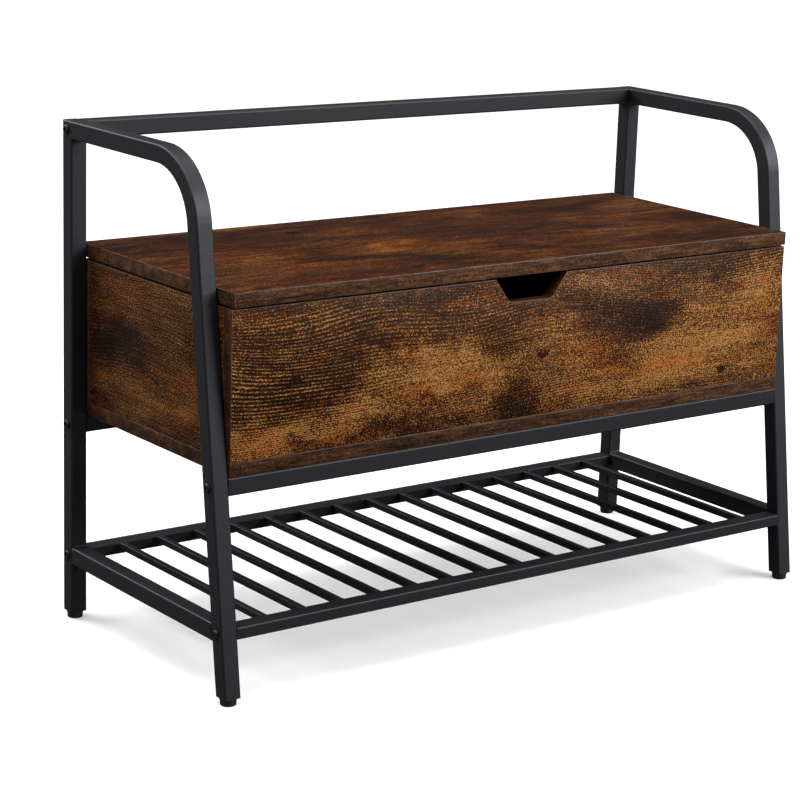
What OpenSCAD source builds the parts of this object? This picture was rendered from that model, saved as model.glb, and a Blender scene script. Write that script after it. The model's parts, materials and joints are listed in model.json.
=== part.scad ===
// Entryway bench: a tube frame with a storage box, a flip-up seat lid and a shoe shelf.
// +Z is up, the front faces -Y, and the origin is on the floor under the middle of the frame.

/* [Frame] */
// Width over the two side frames
frame_w = 800; // [700:5:1000]
// Depth from the front toes to the rear faces of the rear legs
frame_d = 334; // [320:2:370]
// Height of the arms and of the back rail
frame_h = 552; // [535:1:600]
// Side of the square frame tube
tube = 19; // [18:0.5:20]
// Outer corner radius of the frame tube
tube_r = 2; // [1.5:0.25:3]
// Wall thickness of all tubes
wall = 1.2; // [1:0.1:1.4]
// Lean of the front legs from vertical, in degrees
leg_lean = 7.8; // [5:0.2:9]
// Centre-line radius of the bend between an arm and its front leg
bend_r = 70; // [50:5:85]
// Underside of the lower side rails
side_rail_z = 64; // [50:1:90]

/* [Feet] */
// Height of the feet below the tubes
foot_h = 8; // [6:1:12]
// Radius of the foot where it meets the tube
foot_r = 9.3; // [8:0.1:9.4]
// Length of the stem that plugs into the tube
stem_l = 14; // [8:1:20]

/* [Shelf] */
// Underside of the shelf rails
shelf_z = 67; // [50:1:90]
// Height of the shelf rails
shelf_rail_h = 13; // [12:0.5:16]
// Depth of the shelf rails
shelf_rail_d = 20; // [16:1:25]
// Number of shelf bars
bar_count = 15; // [8:1:15]
// Side of the square shelf bars
bar = 7.5; // [6:0.5:10]

/* [Box] */
// Underside of the two rails that carry the box
box_rail_z = 212; // [200:1:225]
// Height of the box, from its base's underside to the walls' top edges
box_h = 171; // [160:1:180]
// Thickness of the boards
board = 15; // [15:1:18]
// Gap between the box and each side frame
box_gap = 1; // [0.5:0.5:3]
// Width of the finger notch at the panel's top edge
notch_w = 98; // [80:2:120]
// Width of the finger notch at its flat bottom, corner to corner
notch_floor_w = 58; // [40:2:70]
// Depth of the finger notch
notch_h = 27; // [20:1:35]
// Radius of the notch's lower corners
notch_r = 10; // [4:1:12]

/* [Lid] */
// Overhang of the lid in front of the front panel
lid_lip = 2.5; // [0:0.5:6]
// Gap between the lid and each side frame
lid_gap = 2.5; // [2:0.5:5]
// Distance of each hinge from the middle
hinge_x = 250; // [150:10:300]
// Length of a hinge
hinge_l = 60; // [50:5:80]
// Thickness of a hinge leaf
leaf = 1.2; // [1:0.1:1.5]
// Outer radius of the hinge knuckles
knuckle_r = 2.7; // [2.5:0.1:3]
// Radius of the hinge pins
pin_r = 1.3; // [1.1:0.1:1.5]

/* [Hidden] */
$fn = 48;
METAL = "#1d1d20";
STEEL = "#8a8c90";
WOOD = "#6f4a26";
PLASTIC = "#141416";
PALE_WOOD = "#c9a877";
SIDES = [["left", -1], ["right", 1]];
// Larger than the bench, for cutting away half spaces
FAR = 1200;
// Play between a plug, block or screw and the hole that it sits in
play = 0.1;
// How far a cut runs past the surface that it opens
past = 1;

// Frame
inner_x = frame_w / 2 - tube;
rear_y = frame_d / 2;
leg_mid_x = frame_w / 2 - tube / 2;
cross_l = 2 * inner_x;
leg_depth = tube / cos(leg_lean);
function leg_front_y(z) = -frame_d / 2 + (z - foot_h) * tan(leg_lean);
function leg_rear_y(z) = leg_front_y(z) + leg_depth;
// A point on the front leg's centre line, at the height of the tube's lower end
leg_foot_y = leg_front_y(foot_h) + leg_depth / 2;
arm_mid_z = frame_h - tube / 2;
// Where the front leg's and the arm's centre lines would cross, and where the bend begins on the arm
corner_y = leg_foot_y + (arm_mid_z - foot_h) * tan(leg_lean);
bend_angle = 90 - leg_lean;
bend_tangent = bend_r * tan(bend_angle / 2);
bend_y = corner_y + bend_tangent;
leg_l = (arm_mid_z - foot_h) / cos(leg_lean) - bend_tangent;
// Bending draws the wall a little thinner on each side, and the straight runs lap the bend's ends
bend_draw = 0.02;
bend_lap = 0.1;

// Bolts through the side frames into the ends of the cross rails
bolt_r = 3;
bolt_hole_r = 3.3;
bolt_head_r = 5.2;
bolt_head_h = 2.6;
bolt_rim_h = 0.6;
bolt_crown_in = 2.2;
bolt_socket_r = 2.3;
bolt_socket_d = 1.5;
bolt_grip = 12;
nut_l = 10;

// Feet: thickness of the flange and of the chamfered tread, and how far tread and body stand in
flange_h = 1.5;
tread_in = 0.9;
body_in = 0.4;
stem_root = 2;

// Shelf
shelf_mid_z = shelf_z + shelf_rail_h / 2;
shelf_top = shelf_z + shelf_rail_h;
shelf_front_y = leg_front_y(shelf_mid_z);
shelf_rail_r = 1.5;
bar_r = 0.8;
bar_space = (cross_l - bar_count * bar) / (bar_count + 1);
bar_front_y = shelf_front_y + shelf_rail_d;
bar_l = rear_y - shelf_rail_d - bar_front_y;

// Box
box_z = box_rail_z + tube;
box_top = box_z + box_h;
wall_z = box_z + board;
wall_h = box_h - board;
box_x = inner_x - box_gap;
front_y = leg_front_y(box_rail_z + tube / 2);
hinge_room = 6;
back_y = rear_y - hinge_room;
side_front_y = front_y + board;
side_rear_y = back_y - board;
box_mid_y = (front_y + back_y) / 2;

// Wall joints, as heights above the base's underside
dowel_heights = [55, 110];
cam_heights = [30, 138];
dowel_r = 4;
dowel_l = 30;
dowel_in_face = 10;
cam_r = 7.5;
cam_depth = 12.5;
cam_inset = 24;
cam_slot = 7;
cam_pin_r = 2.5;
cam_head_r = 3.2;
cam_pin_in_face = 10;
cam_pin_l = 30;
cam_head_l = 3;
corner_x = box_x - board / 2;
corner_xs = [-corner_x, corner_x];
// Where the side walls meet the front and the back wall: [y, direction towards that wall]
WALL_JOINTS = [[side_front_y, -1], [side_rear_y, 1]];

// Screws up through the rails and the base into the front and back walls
box_screw_xs = [-250, 0, 250];
box_screw_r = 2;
box_screw_head_r = 4;
box_screw_head_h = 2.2;
box_screw_crown_in = 1;
box_screw_inset = 7.5;
box_screw_access_r = 4.8;
box_screw_bite = 18;
box_screw_ys = [front_y + box_screw_inset, back_y - box_screw_inset];

// Countersunk screws up through the base into the side walls
base_screw_pitch = 95;
base_screw_ys = [for (i = [-1:1]) box_mid_y + i * base_screw_pitch];
base_screw_bite = 23;

// Lid and hinges
lid_z = box_top + 2 * leaf;
lid_x = inner_x - lid_gap;
lid_front_y = front_y - lid_lip;
lid_rear_in = 1;
lid_rear_y = rear_y - lid_rear_in;
axis_y = back_y + knuckle_r + play;
axis_z = box_top + leaf;
leaf_front_in = 1.5;
leaf_rear_in = 0.2;
leaf_front_y = back_y - board + leaf_front_in;
leaf_rear_y = back_y - leaf_rear_in;
knuckle_l = 19.8;
knuckle_play = 0.3;
mid_knuckle_l = hinge_l - 2 * (knuckle_l + knuckle_play);
// The pin is tight in the box's leaf and turns freely in the lid's
pin_tight_play = 0.02;
pin_free_play = 0.06;
pin_head_r = 1.9;
pin_head_l = 0.8;
rebate_h = 1.8;
rebate_play = 1;
leaf_screw_xs = [-20, 0, 20];
leaf_screw_y = (leaf_front_y + leaf_rear_y) / 2;
leaf_screw_r = 1.5;
leaf_screw_head_r = 2.8;
box_leaf_screw_l = 16;
lid_leaf_screw_l = 11;
bumper_r = 5;
bumper_h = 2.2;
bumper_x = 340;

// Bolted places on a side frame: [y, z] of each cross rail's centre
back_rail_bolt = [rear_y - tube / 2, frame_h - tube / 2];
box_front_bolt = [front_y + tube / 2, box_rail_z + tube / 2];
box_rear_bolt = [rear_y - tube / 2, box_rail_z + tube / 2];
shelf_front_bolt = [shelf_front_y + shelf_rail_d / 2, shelf_mid_z];
shelf_rear_bolt = [rear_y - shelf_rail_d / 2, shelf_mid_z];
tube_bolts = [back_rail_bolt, box_front_bolt, box_rear_bolt];
shelf_bolts = [shelf_front_bolt, shelf_rear_bolt];
all_bolts = concat(tube_bolts, shelf_bolts);

function two_digits(i) = str(i < 10 ? "0" : "", i);
function bar_name(i) = str("shelf_bar_", two_digits(i));

// ---- Shared shapes ----

// Rectangle with round corners, centred
module round_rect(w, h, r) {
    square([w - 2 * r, h], center = true);
    square([w, h - 2 * r], center = true);
    for (x = [-1, 1], y = [-1, 1])
        translate([x * (w / 2 - r), y * (h / 2 - r)]) circle(r = r);
}

// The outside and the inside of the frame tube's section, with its wall drawn thinner on each side
module tube_outline(draw = 0) {
    round_rect(tube - 2 * draw, tube - 2 * draw, tube_r);
}

module tube_bore(draw = 0) {
    side = tube - 2 * wall + 2 * draw;
    round_rect(side, side, tube_r - wall);
}

// Straight cross rail along X, centred on [y, z], hollow, w deep and h high
module cross_rail(y, z, w, h, r) {
    translate([-cross_l / 2, y, z])
        rotate([90, 0, 90])
            linear_extrude(cross_l)
                difference() {
                    round_rect(w, h, r);
                    round_rect(w - 2 * wall, h - 2 * wall, r - wall);
                }
}

// Straight run along +Y from y0 to y1, of the 2D shape given
module run_y(x, y0, y1, z) {
    translate([x, y0, z]) rotate([-90, 0, 0]) linear_extrude(y1 - y0) children();
}

// Cylinder along X between x0 and x1, in either order, at [y, z]
module rod_x(x0, x1, y, z, r) {
    translate([min(x0, x1), y, z]) rotate([0, 90, 0]) cylinder(h = abs(x1 - x0), r = r);
}

// Cylinder along Y between y0 and y1, in either order, at [x, z]
module rod_y(x, y0, y1, z, r) {
    translate([x, min(y0, y1), z]) rotate([-90, 0, 0]) cylinder(h = abs(y1 - y0), r = r);
}

// Triangle on the mitre between a rear leg and its arm, on the leg's side or on the arm's
module mitre_side(arm) {
    near = -past;
    far = 3 * tube;
    translate([-FAR / 2, rear_y - tube, frame_h - tube])
        rotate([90, 0, 90])
            linear_extrude(FAR)
                polygon([[near, near], [far, far], arm ? [near, far] : [far, near]]);
}

// Bolt holes through a side frame, at the places given
module bolt_holes(s, places) {
    for (p = places)
        rod_x(s * leg_mid_x - tube, s * leg_mid_x + tube, p[0], p[1], bolt_hole_r);
}

// ---- Side frames ----

module rear_leg(s) {
    color(METAL)
        difference() {
            translate([s * leg_mid_x, rear_y - tube / 2, foot_h])
                linear_extrude(frame_h - foot_h)
                    difference() {
                        tube_outline();
                        tube_bore();
                    }
            mitre_side(true);
            bolt_holes(s, all_bolts);
        }
}

// Centre line of an arm and its front leg: children(0) along the straight runs, which go on by
// extra at both ends, and children(1) round the bend, which starts and stops inside them
module arm_sweep(s, extra) {
    translate([s * leg_mid_x, leg_foot_y, foot_h])
        rotate([-leg_lean, 0, 0])
            translate([0, 0, -extra]) linear_extrude(leg_l + bend_lap + extra) children(0);
    translate([s * leg_mid_x, bend_y, arm_mid_z - bend_r])
        rotate([180, -90, 0])
            rotate_extrude(angle = bend_angle, $fn = 96)
                translate([bend_r, 0]) children(1);
    run_y(s * leg_mid_x, bend_y - bend_lap, rear_y + extra, arm_mid_z) children(0);
}

module arm_and_front_leg(s) {
    color(METAL)
        difference() {
            arm_sweep(s, tube) {
                tube_outline();
                tube_outline(bend_draw);
            }
            arm_sweep(s, 2 * tube) {
                tube_bore();
                tube_bore(bend_draw);
            }
            translate([-FAR / 2, -FAR / 2, foot_h - FAR]) cube([FAR, FAR, FAR]);
            mitre_side(false);
            bolt_holes(s, all_bolts);
        }
}

// Lower rail between the two legs of one side, its front end cut to the front leg's lean
module lower_side_rail(s) {
    color(METAL)
        difference() {
            run_y(s * leg_mid_x, -rear_y, rear_y - tube, side_rail_z + tube / 2)
                difference() {
                    tube_outline();
                    tube_bore();
                }
            translate([-FAR / 2, leg_rear_y(side_rail_z), side_rail_z])
                rotate([-leg_lean, 0, 0])
                    translate([0, -FAR, -FAR / 2]) cube([FAR, FAR, FAR]);
        }
}

// ---- Feet ----

// Round glide under a tube end, with a stem that follows the tube's lean
module foot(s, y, lean) {
    tread_r = foot_r - tread_in;
    color(PLASTIC)
        translate([s * leg_mid_x, y, 0]) {
            translate([0, 0, foot_h - flange_h]) cylinder(h = flange_h, r = foot_r);
            translate([0, 0, flange_h])
                cylinder(h = foot_h - 2 * flange_h, r1 = tread_r, r2 = foot_r - body_in);
            cylinder(h = flange_h, r1 = tread_r - flange_h, r2 = tread_r);
            difference() {
                translate([0, 0, foot_h]) rotate([-lean, 0, 0])
                    translate([0, 0, -stem_root])
                        cylinder(h = stem_l + stem_root, r = tube / 2 - wall - play);
                translate([-tube, -tube, -tube + foot_h - flange_h / 2])
                    cube([2 * tube, 2 * tube, tube]);
            }
        }
}

// ---- Cross rails, nuts and bolts ----

module tube_rail(place) {
    cross_rail(place[0], place[1], tube, tube, tube_r);
}

// Tube rail with screw holes in its top wall and wider access holes in its bottom wall
module box_rail(place, screw_y) {
    color(METAL)
        difference() {
            tube_rail(place);
            for (x = box_screw_xs)
                translate([x, screw_y, box_rail_z]) {
                    translate([0, 0, -past]) cylinder(h = tube / 2 + past, r = box_screw_access_r);
                    cylinder(h = tube + past, r = box_screw_r + 2 * play);
                }
        }
}

module back_rail() {
    color(METAL) tube_rail(back_rail_bolt);
}

module box_front_rail() {
    box_rail(box_front_bolt, front_y + box_screw_inset);
}

module box_rear_rail() {
    box_rail(box_rear_bolt, back_y - box_screw_inset);
}

module shelf_rail(place) {
    color(METAL) cross_rail(place[0], place[1], shelf_rail_d, shelf_rail_h, shelf_rail_r);
}

// Nut block in each end of a cross rail that is w deep and h high outside, with corner radius r
module end_nuts(place, w, h, r) {
    for (x = [-inner_x, inner_x - nut_l])
        translate([x, place[0], place[1]])
            rotate([90, 0, 90])
                linear_extrude(nut_l)
                    difference() {
                        round_rect(w - 2 * (wall + play), h - 2 * (wall + play), r - wall);
                        circle(r = bolt_r + play / 2);
                    }
}

module tube_rail_nuts() {
    color(STEEL) for (p = tube_bolts) end_nuts(p, tube, tube, tube_r);
}

module shelf_rail_nuts() {
    color(STEEL) for (p = shelf_bolts) end_nuts(p, shelf_rail_d, shelf_rail_h, shelf_rail_r);
}

// Button head bolt along X, its head on the outer face of side s
module frame_bolt(s, place) {
    translate([s * frame_w / 2, place[0], place[1]])
        rotate([0, s * 90, 0])
            difference() {
                union() {
                    translate([0, 0, -tube - bolt_grip])
                        cylinder(h = tube + bolt_grip, r = bolt_r);
                    cylinder(h = bolt_rim_h, r = bolt_head_r);
                    translate([0, 0, bolt_rim_h])
                        cylinder(h = bolt_head_h - bolt_rim_h, r1 = bolt_head_r,
                                 r2 = bolt_head_r - bolt_crown_in);
                }
                translate([0, 0, bolt_head_h - bolt_socket_d])
                    cylinder(h = bolt_socket_d + past, r = bolt_socket_r, $fn = 6);
            }
}

module frame_bolts(s) {
    color(METAL) for (p = all_bolts) frame_bolt(s, p);
}

// ---- Shelf bars ----

module shelf_bar(i) {
    x = -inner_x + i * bar_space + (i - 0.5) * bar;
    color(METAL)
        run_y(x, bar_front_y, bar_front_y + bar_l, shelf_top - bar / 2)
            round_rect(bar, bar, bar_r);
}

// ---- Box ----

// Upright rows of round pieces across a wall joint, from back in the side wall to front in the other
module joint_rods(joint, heights, back, front, r) {
    for (x = corner_xs, h = heights)
        rod_y(x, joint[0] - joint[1] * back, joint[0] + joint[1] * front, box_z + h, r);
}

// Round pieces of one depth in the side walls' inner faces, where the cams sit
module cam_rods(joint, start, depth, r) {
    for (s = [-1, 1], h = cam_heights)
        rod_x(s * (box_x - board + start), s * (box_x - board + depth),
              joint[0] - joint[1] * cam_inset, box_z + h, r);
}

// Everything that is cut out of the walls for dowels, cams and pins
module panel_joint_cuts() {
    for (joint = WALL_JOINTS) {
        joint_rods(joint, dowel_heights, dowel_l - dowel_in_face, dowel_in_face, dowel_r + play / 2);
        joint_rods(joint, cam_heights, cam_inset, cam_pin_in_face, cam_head_r + play);
        cam_rods(joint, -past, cam_depth, cam_r);
    }
}

// Holes that box_screws and base_screws pass through or bite into
module base_and_wall_holes() {
    for (x = box_screw_xs, y = box_screw_ys)
        translate([x, y, box_z - past])
            cylinder(h = board + box_screw_bite + past, r = box_screw_r + play / 2);
    for (x = corner_xs, y = base_screw_ys) translate([x, y, box_z]) {
        cylinder(h = board + base_screw_bite, r = box_screw_r + play / 2);
        translate([0, 0, -play])
            cylinder(h = box_screw_head_h + play, r1 = box_screw_head_r + play, r2 = box_screw_r);
    }
}

// Trapezoid with round lower corners, open at the top
module notch_outline() {
    slope = (notch_w - notch_floor_w) / 2 / notch_h;
    lean = atan(slope);
    // Centre of a lower corner's arc, tangent to the floor and to the leaning side
    arc_x = notch_floor_w / 2 - notch_r * tan((90 - lean) / 2);
    intersection() {
        polygon([
            [-notch_w / 2 - slope * past, past], [notch_w / 2 + slope * past, past],
            [notch_floor_w / 2, -notch_h], [-notch_floor_w / 2, -notch_h]
        ]);
        union() {
            for (s = [-1, 1]) translate([s * arc_x, notch_r - notch_h]) circle(r = notch_r);
            translate([-arc_x, -notch_h]) square([2 * arc_x, notch_h + past]);
            translate([-notch_w, notch_r - notch_h - notch_r * sin(lean)])
                square([2 * notch_w, notch_h]);
        }
    }
}

module front_panel() {
    color(WOOD)
        difference() {
            translate([-box_x, front_y, wall_z]) cube([2 * box_x, board, wall_h]);
            translate([0, side_front_y + past, box_top])
                rotate([90, 0, 0]) linear_extrude(board + 2 * past) notch_outline();
            panel_joint_cuts();
            base_and_wall_holes();
        }
}

module back_panel() {
    color(WOOD)
        difference() {
            translate([-box_x, side_rear_y, wall_z]) cube([2 * box_x, board, wall_h]);
            panel_joint_cuts();
            base_and_wall_holes();
            for (s = [-1, 1], x = leaf_screw_xs)
                translate([s * hinge_x + x, leaf_screw_y, box_top - box_leaf_screw_l])
                    cylinder(h = box_leaf_screw_l + past, r = leaf_screw_r + play / 2);
        }
}

module side_panel(s) {
    x0 = s > 0 ? box_x - board : -box_x;
    color(WOOD)
        difference() {
            translate([x0, side_front_y, wall_z])
                cube([board, side_rear_y - side_front_y, wall_h]);
            panel_joint_cuts();
            base_and_wall_holes();
        }
}

// Board under the four walls, as wide and deep as the box
module base_board() {
    color(WOOD)
        difference() {
            translate([-box_x, front_y, box_z]) cube([2 * box_x, back_y - front_y, board]);
            base_and_wall_holes();
        }
}

// ---- Panel joint fittings ----

module panel_dowels() {
    color(PALE_WOOD)
        for (joint = WALL_JOINTS)
            joint_rods(joint, dowel_heights, dowel_l - dowel_in_face, dowel_in_face, dowel_r);
}

// Cams in the side walls' inner faces, each with a slot that takes its pin's head
module cam_locks() {
    color(STEEL)
        for (joint = WALL_JOINTS)
            difference() {
                cam_rods(joint, 0, cam_depth - play, cam_r - play);
                for (x = corner_xs, h = cam_heights)
                    translate([x, joint[0] - joint[1] * (cam_inset - cam_r), box_z + h])
                        cube([cam_slot, 2 * cam_r, cam_slot], center = true);
            }
}

module cam_pins() {
    head_end = cam_pin_l - cam_pin_in_face;
    color(STEEL)
        for (joint = WALL_JOINTS) {
            joint_rods(joint, cam_heights, head_end - cam_head_l, cam_pin_in_face, cam_pin_r);
            joint_rods(joint, cam_heights, head_end, cam_head_l - head_end, cam_head_r - play);
        }
}

// Pan head screws inside the rails, up through the base and into the walls' lower edges
module box_screws() {
    color(STEEL)
        for (x = box_screw_xs, y = box_screw_ys)
            translate([x, y, box_z - wall]) {
                cylinder(h = wall + board + box_screw_bite - play, r = box_screw_r);
                translate([0, 0, -box_screw_head_h])
                    cylinder(h = box_screw_head_h, r1 = box_screw_head_r - box_screw_crown_in,
                             r2 = box_screw_head_r);
            }
}

// Countersunk screws from under the base into the side walls' lower edges
module base_screws() {
    color(STEEL)
        for (x = corner_xs, y = base_screw_ys) translate([x, y, box_z]) {
            cylinder(h = board + base_screw_bite - play, r = box_screw_r);
            cylinder(h = box_screw_head_h, r1 = box_screw_head_r, r2 = box_screw_r);
        }
}

// Round pads on the front panel that carry the closed lid
module lid_bumpers() {
    color(PLASTIC)
        for (s = [-1, 1])
            translate([s * bumper_x, front_y + board / 2, box_top])
                cylinder(h = bumper_h, r = bumper_r);
}

// ---- Hinges ----

// Countersunk holes through a leaf that lies on z, wide at the axis side, going up or down
module leaf_holes(up) {
    for (x = leaf_screw_xs)
        translate([x, leaf_screw_y, axis_z])
            mirror([0, 0, up ? 0 : 1])
                cylinder(h = leaf, r1 = leaf_screw_head_r + play, r2 = leaf_screw_r + play);
}

// Leaf plate, tabs and knuckles; spans lists each knuckle's [start, length] along X
module hinge_leaf(up, spans, bore_r) {
    plate_z = up ? axis_z : axis_z - leaf;
    color(STEEL)
        difference() {
            union() {
                translate([-hinge_l / 2, leaf_front_y, plate_z])
                    cube([hinge_l, leaf_rear_y - leaf_front_y, leaf]);
                for (k = spans) {
                    translate([k[0], leaf_rear_y - past, plate_z])
                        cube([k[1], axis_y - leaf_rear_y + past, leaf]);
                    rod_x(k[0], k[0] + k[1], axis_y, axis_z, knuckle_r);
                }
            }
            rod_x(-hinge_l, hinge_l, axis_y, axis_z, bore_r);
            leaf_holes(up);
        }
}

module hinge_box_leaf(s) {
    translate([s * hinge_x, 0, 0])
        hinge_leaf(false, [[-hinge_l / 2, knuckle_l], [hinge_l / 2 - knuckle_l, knuckle_l]],
                   pin_r + pin_tight_play);
}

module hinge_lid_leaf(s) {
    translate([s * hinge_x, 0, 0])
        hinge_leaf(true, [[-mid_knuckle_l / 2, mid_knuckle_l]],
                   pin_r + pin_free_play);
}

module hinge_pin(s) {
    half = hinge_l / 2 + play;
    color(STEEL)
        translate([s * hinge_x, 0, 0]) {
            rod_x(-half, half, axis_y, axis_z, pin_r);
            rod_x(-half - pin_head_l, -half, axis_y, axis_z, pin_head_r);
            rod_x(half, half + pin_head_l, axis_y, axis_z, pin_head_r);
        }
}

// Countersunk screws of one kind of leaf, l long beyond the leaf
module leaf_screws(up, l) {
    color(STEEL)
        for (s = [-1, 1], x = leaf_screw_xs)
            translate([s * hinge_x + x, leaf_screw_y, axis_z])
                mirror([0, 0, up ? 0 : 1])
                    union() {
                        cylinder(h = leaf, r1 = leaf_screw_head_r, r2 = leaf_screw_r);
                        cylinder(h = l + leaf - play, r = leaf_screw_r);
                    }
}

module box_leaf_screws() {
    leaf_screws(false, box_leaf_screw_l);
}

module lid_leaf_screws() {
    leaf_screws(true, lid_leaf_screw_l);
}

// ---- Lid ----

module lid_panel() {
    rebate_l = hinge_l + 2 * (pin_head_l + rebate_play);
    color(WOOD)
        difference() {
            translate([-lid_x, lid_front_y, lid_z])
                cube([2 * lid_x, lid_rear_y - lid_front_y, board]);
            for (s = [-1, 1]) {
                translate([s * hinge_x - rebate_l / 2, axis_y - knuckle_r - knuckle_play, lid_z - past])
                    cube([rebate_l, tube, rebate_h + past]);
                for (x = leaf_screw_xs)
                    translate([s * hinge_x + x, leaf_screw_y, lid_z - past])
                        cylinder(h = lid_leaf_screw_l + past, r = leaf_screw_r + play / 2);
            }
        }
}

// ---- Nodes ----

for (s = SIDES) {
    rear_leg(s[1]);
    arm_and_front_leg(s[1]);
    lower_side_rail(s[1]);
    foot(s[1], rear_y - tube / 2, 0);
    foot(s[1], leg_foot_y, leg_lean);
    frame_bolts(s[1]);
    side_panel(s[1]);
    hinge_box_leaf(s[1]);
    hinge_lid_leaf(s[1]);
    hinge_pin(s[1]);
}
back_rail();
box_front_rail();
box_rear_rail();
shelf_rail(shelf_front_bolt);  // shelf_front_rail
shelf_rail(shelf_rear_bolt);  // shelf_rear_rail
tube_rail_nuts();
shelf_rail_nuts();
for (i = [1:bar_count]) shelf_bar(i);
front_panel();
back_panel();
base_board();
panel_dowels();
cam_locks();
cam_pins();
box_screws();
base_screws();
lid_bumpers();
box_leaf_screws();
lid_leaf_screws();
lid_panel();
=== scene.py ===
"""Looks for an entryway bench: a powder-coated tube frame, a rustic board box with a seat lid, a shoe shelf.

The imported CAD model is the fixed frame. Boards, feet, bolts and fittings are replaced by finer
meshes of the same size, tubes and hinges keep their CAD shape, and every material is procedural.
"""
import json
import math

import bmesh
import bpy
from mathutils import Matrix, Quaternion, Vector

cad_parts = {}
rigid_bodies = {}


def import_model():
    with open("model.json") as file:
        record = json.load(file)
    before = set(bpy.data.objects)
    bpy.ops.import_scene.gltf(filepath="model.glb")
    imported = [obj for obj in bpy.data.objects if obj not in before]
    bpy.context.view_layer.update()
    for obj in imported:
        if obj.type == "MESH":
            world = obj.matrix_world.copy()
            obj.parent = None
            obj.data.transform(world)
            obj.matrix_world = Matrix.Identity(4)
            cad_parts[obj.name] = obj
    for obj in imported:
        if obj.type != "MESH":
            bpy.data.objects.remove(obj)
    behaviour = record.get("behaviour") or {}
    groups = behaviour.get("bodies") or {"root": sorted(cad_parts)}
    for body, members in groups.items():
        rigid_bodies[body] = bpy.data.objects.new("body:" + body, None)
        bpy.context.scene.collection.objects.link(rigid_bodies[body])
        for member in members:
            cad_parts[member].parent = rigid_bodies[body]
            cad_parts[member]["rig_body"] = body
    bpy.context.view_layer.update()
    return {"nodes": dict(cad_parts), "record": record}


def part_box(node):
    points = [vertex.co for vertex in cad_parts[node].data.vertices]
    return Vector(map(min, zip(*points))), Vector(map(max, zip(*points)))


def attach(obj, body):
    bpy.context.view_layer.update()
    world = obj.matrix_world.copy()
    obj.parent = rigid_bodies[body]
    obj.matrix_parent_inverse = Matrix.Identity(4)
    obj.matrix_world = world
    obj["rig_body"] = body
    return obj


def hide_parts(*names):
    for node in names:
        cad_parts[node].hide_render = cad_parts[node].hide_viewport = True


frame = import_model()
MM = 0.001
SIDES = ("left", "right")
NODES = frame["nodes"]

# ---- Camera ----

CAMERA_PLACE = (-1.6465, -2.1086, 0.9088)
CAMERA_AZIMUTH = 38.02
CAMERA_ELEVATION = 14.16
CAMERA_ROLL = 2.17
CAMERA_LENS = 109.7
CAMERA_SENSOR = 36.0
CAMERA_SHIFT = (-0.0625, 0.0)


def make_camera():
    """Stands at the front left, a little above the seat, with a long lens."""
    azimuth, elevation = math.radians(CAMERA_AZIMUTH), math.radians(CAMERA_ELEVATION)
    ahead = Vector((
        math.sin(azimuth) * math.cos(elevation),
        math.cos(azimuth) * math.cos(elevation),
        -math.sin(elevation),
    ))
    data = bpy.data.cameras.new("camera")
    data.lens = CAMERA_LENS
    data.sensor_width = CAMERA_SENSOR
    data.shift_x, data.shift_y = CAMERA_SHIFT
    data.dof.use_dof = False
    camera = bpy.data.objects.new("camera", data)
    camera.location = CAMERA_PLACE
    camera.rotation_mode = "QUATERNION"
    roll = Quaternion((0, 0, 1), math.radians(CAMERA_ROLL))
    camera.rotation_quaternion = ahead.to_track_quat("-Z", "Y") @ roll
    bpy.context.scene.collection.objects.link(camera)
    bpy.context.scene.camera = camera


# ---- Studio ----

SEAT_MIDDLE = (0.0, 0.0, 0.30)


def area_light(name, place, size, power, target=SEAT_MIDDLE):
    """Rectangular soft light at place, facing target."""
    data = bpy.data.lights.new(name, "AREA")
    data.shape = "RECTANGLE"
    data.size, data.size_y = size
    data.energy = power
    light = bpy.data.objects.new(name, data)
    light.location = place
    light.rotation_mode = "QUATERNION"
    light.rotation_quaternion = (Vector(target) - Vector(place)).to_track_quat("-Z", "Y")
    bpy.context.scene.collection.objects.link(light)


def overhead_light(power, spread):
    """Very soft light from straight above, even over the whole floor."""
    data = bpy.data.lights.new("overhead", "SUN")
    data.energy = power
    data.angle = math.radians(spread)
    light = bpy.data.objects.new("overhead", data)
    light.location = (0.0, 0.0, 3.0)
    bpy.context.scene.collection.objects.link(light)


def make_world(seen, cast):
    """White where the camera sees it, and a dim even light on the object."""
    world = bpy.data.worlds.new("studio")
    world.use_nodes = True
    nodes, links = world.node_tree.nodes, world.node_tree.links
    background = nodes["Background"]
    path = nodes.new("ShaderNodeLightPath")
    strength = nodes.new("ShaderNodeMapRange")
    strength.inputs["To Min"].default_value = cast
    strength.inputs["To Max"].default_value = seen
    links.new(path.outputs["Is Camera Ray"], strength.inputs["Value"])
    links.new(strength.outputs["Result"], background.inputs["Strength"])
    background.inputs["Color"].default_value = (1.0, 1.0, 1.0, 1.0)
    bpy.context.scene.world = world


def floor_material(glow, white, bounce):
    """White to the camera, with the object's soft shadow, and much dimmer as a light on the object."""
    shader = Shader("floor_white")
    dim = shader.add("BsdfDiffuse", {"Color": (bounce, bounce, bounce, 1.0)})
    bright = shader.add("BsdfDiffuse", {"Color": (white, white, white, 1.0)})
    lit = shader.add("Emission", {"Color": (1.0, 1.0, 1.0, 1.0), "Strength": glow})
    seen = shader.add("AddShader", {0: bright.outputs[0], 1: lit.outputs[0]})
    path = shader.add("LightPath", {}).outputs["Is Camera Ray"]
    both = shader.add("MixShader", {0: path, 1: dim.outputs[0], 2: seen.outputs[0]})
    shader.set(shader.tree.nodes["Material Output"], {"Surface": both.outputs[0]})
    return shader.material


def make_floor(half_side):
    """Plain pale floor, at the feet."""
    bm = bmesh.new()
    corners = [(-1, -1), (1, -1), (1, 1), (-1, 1)]
    bm.faces.new([bm.verts.new((x * half_side, y * half_side, 0.0)) for x, y in corners])
    floor = new_object("floor", bm)
    floor.data.materials.append(floor_material(glow=0.25, white=0.80, bounce=0.10))


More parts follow.
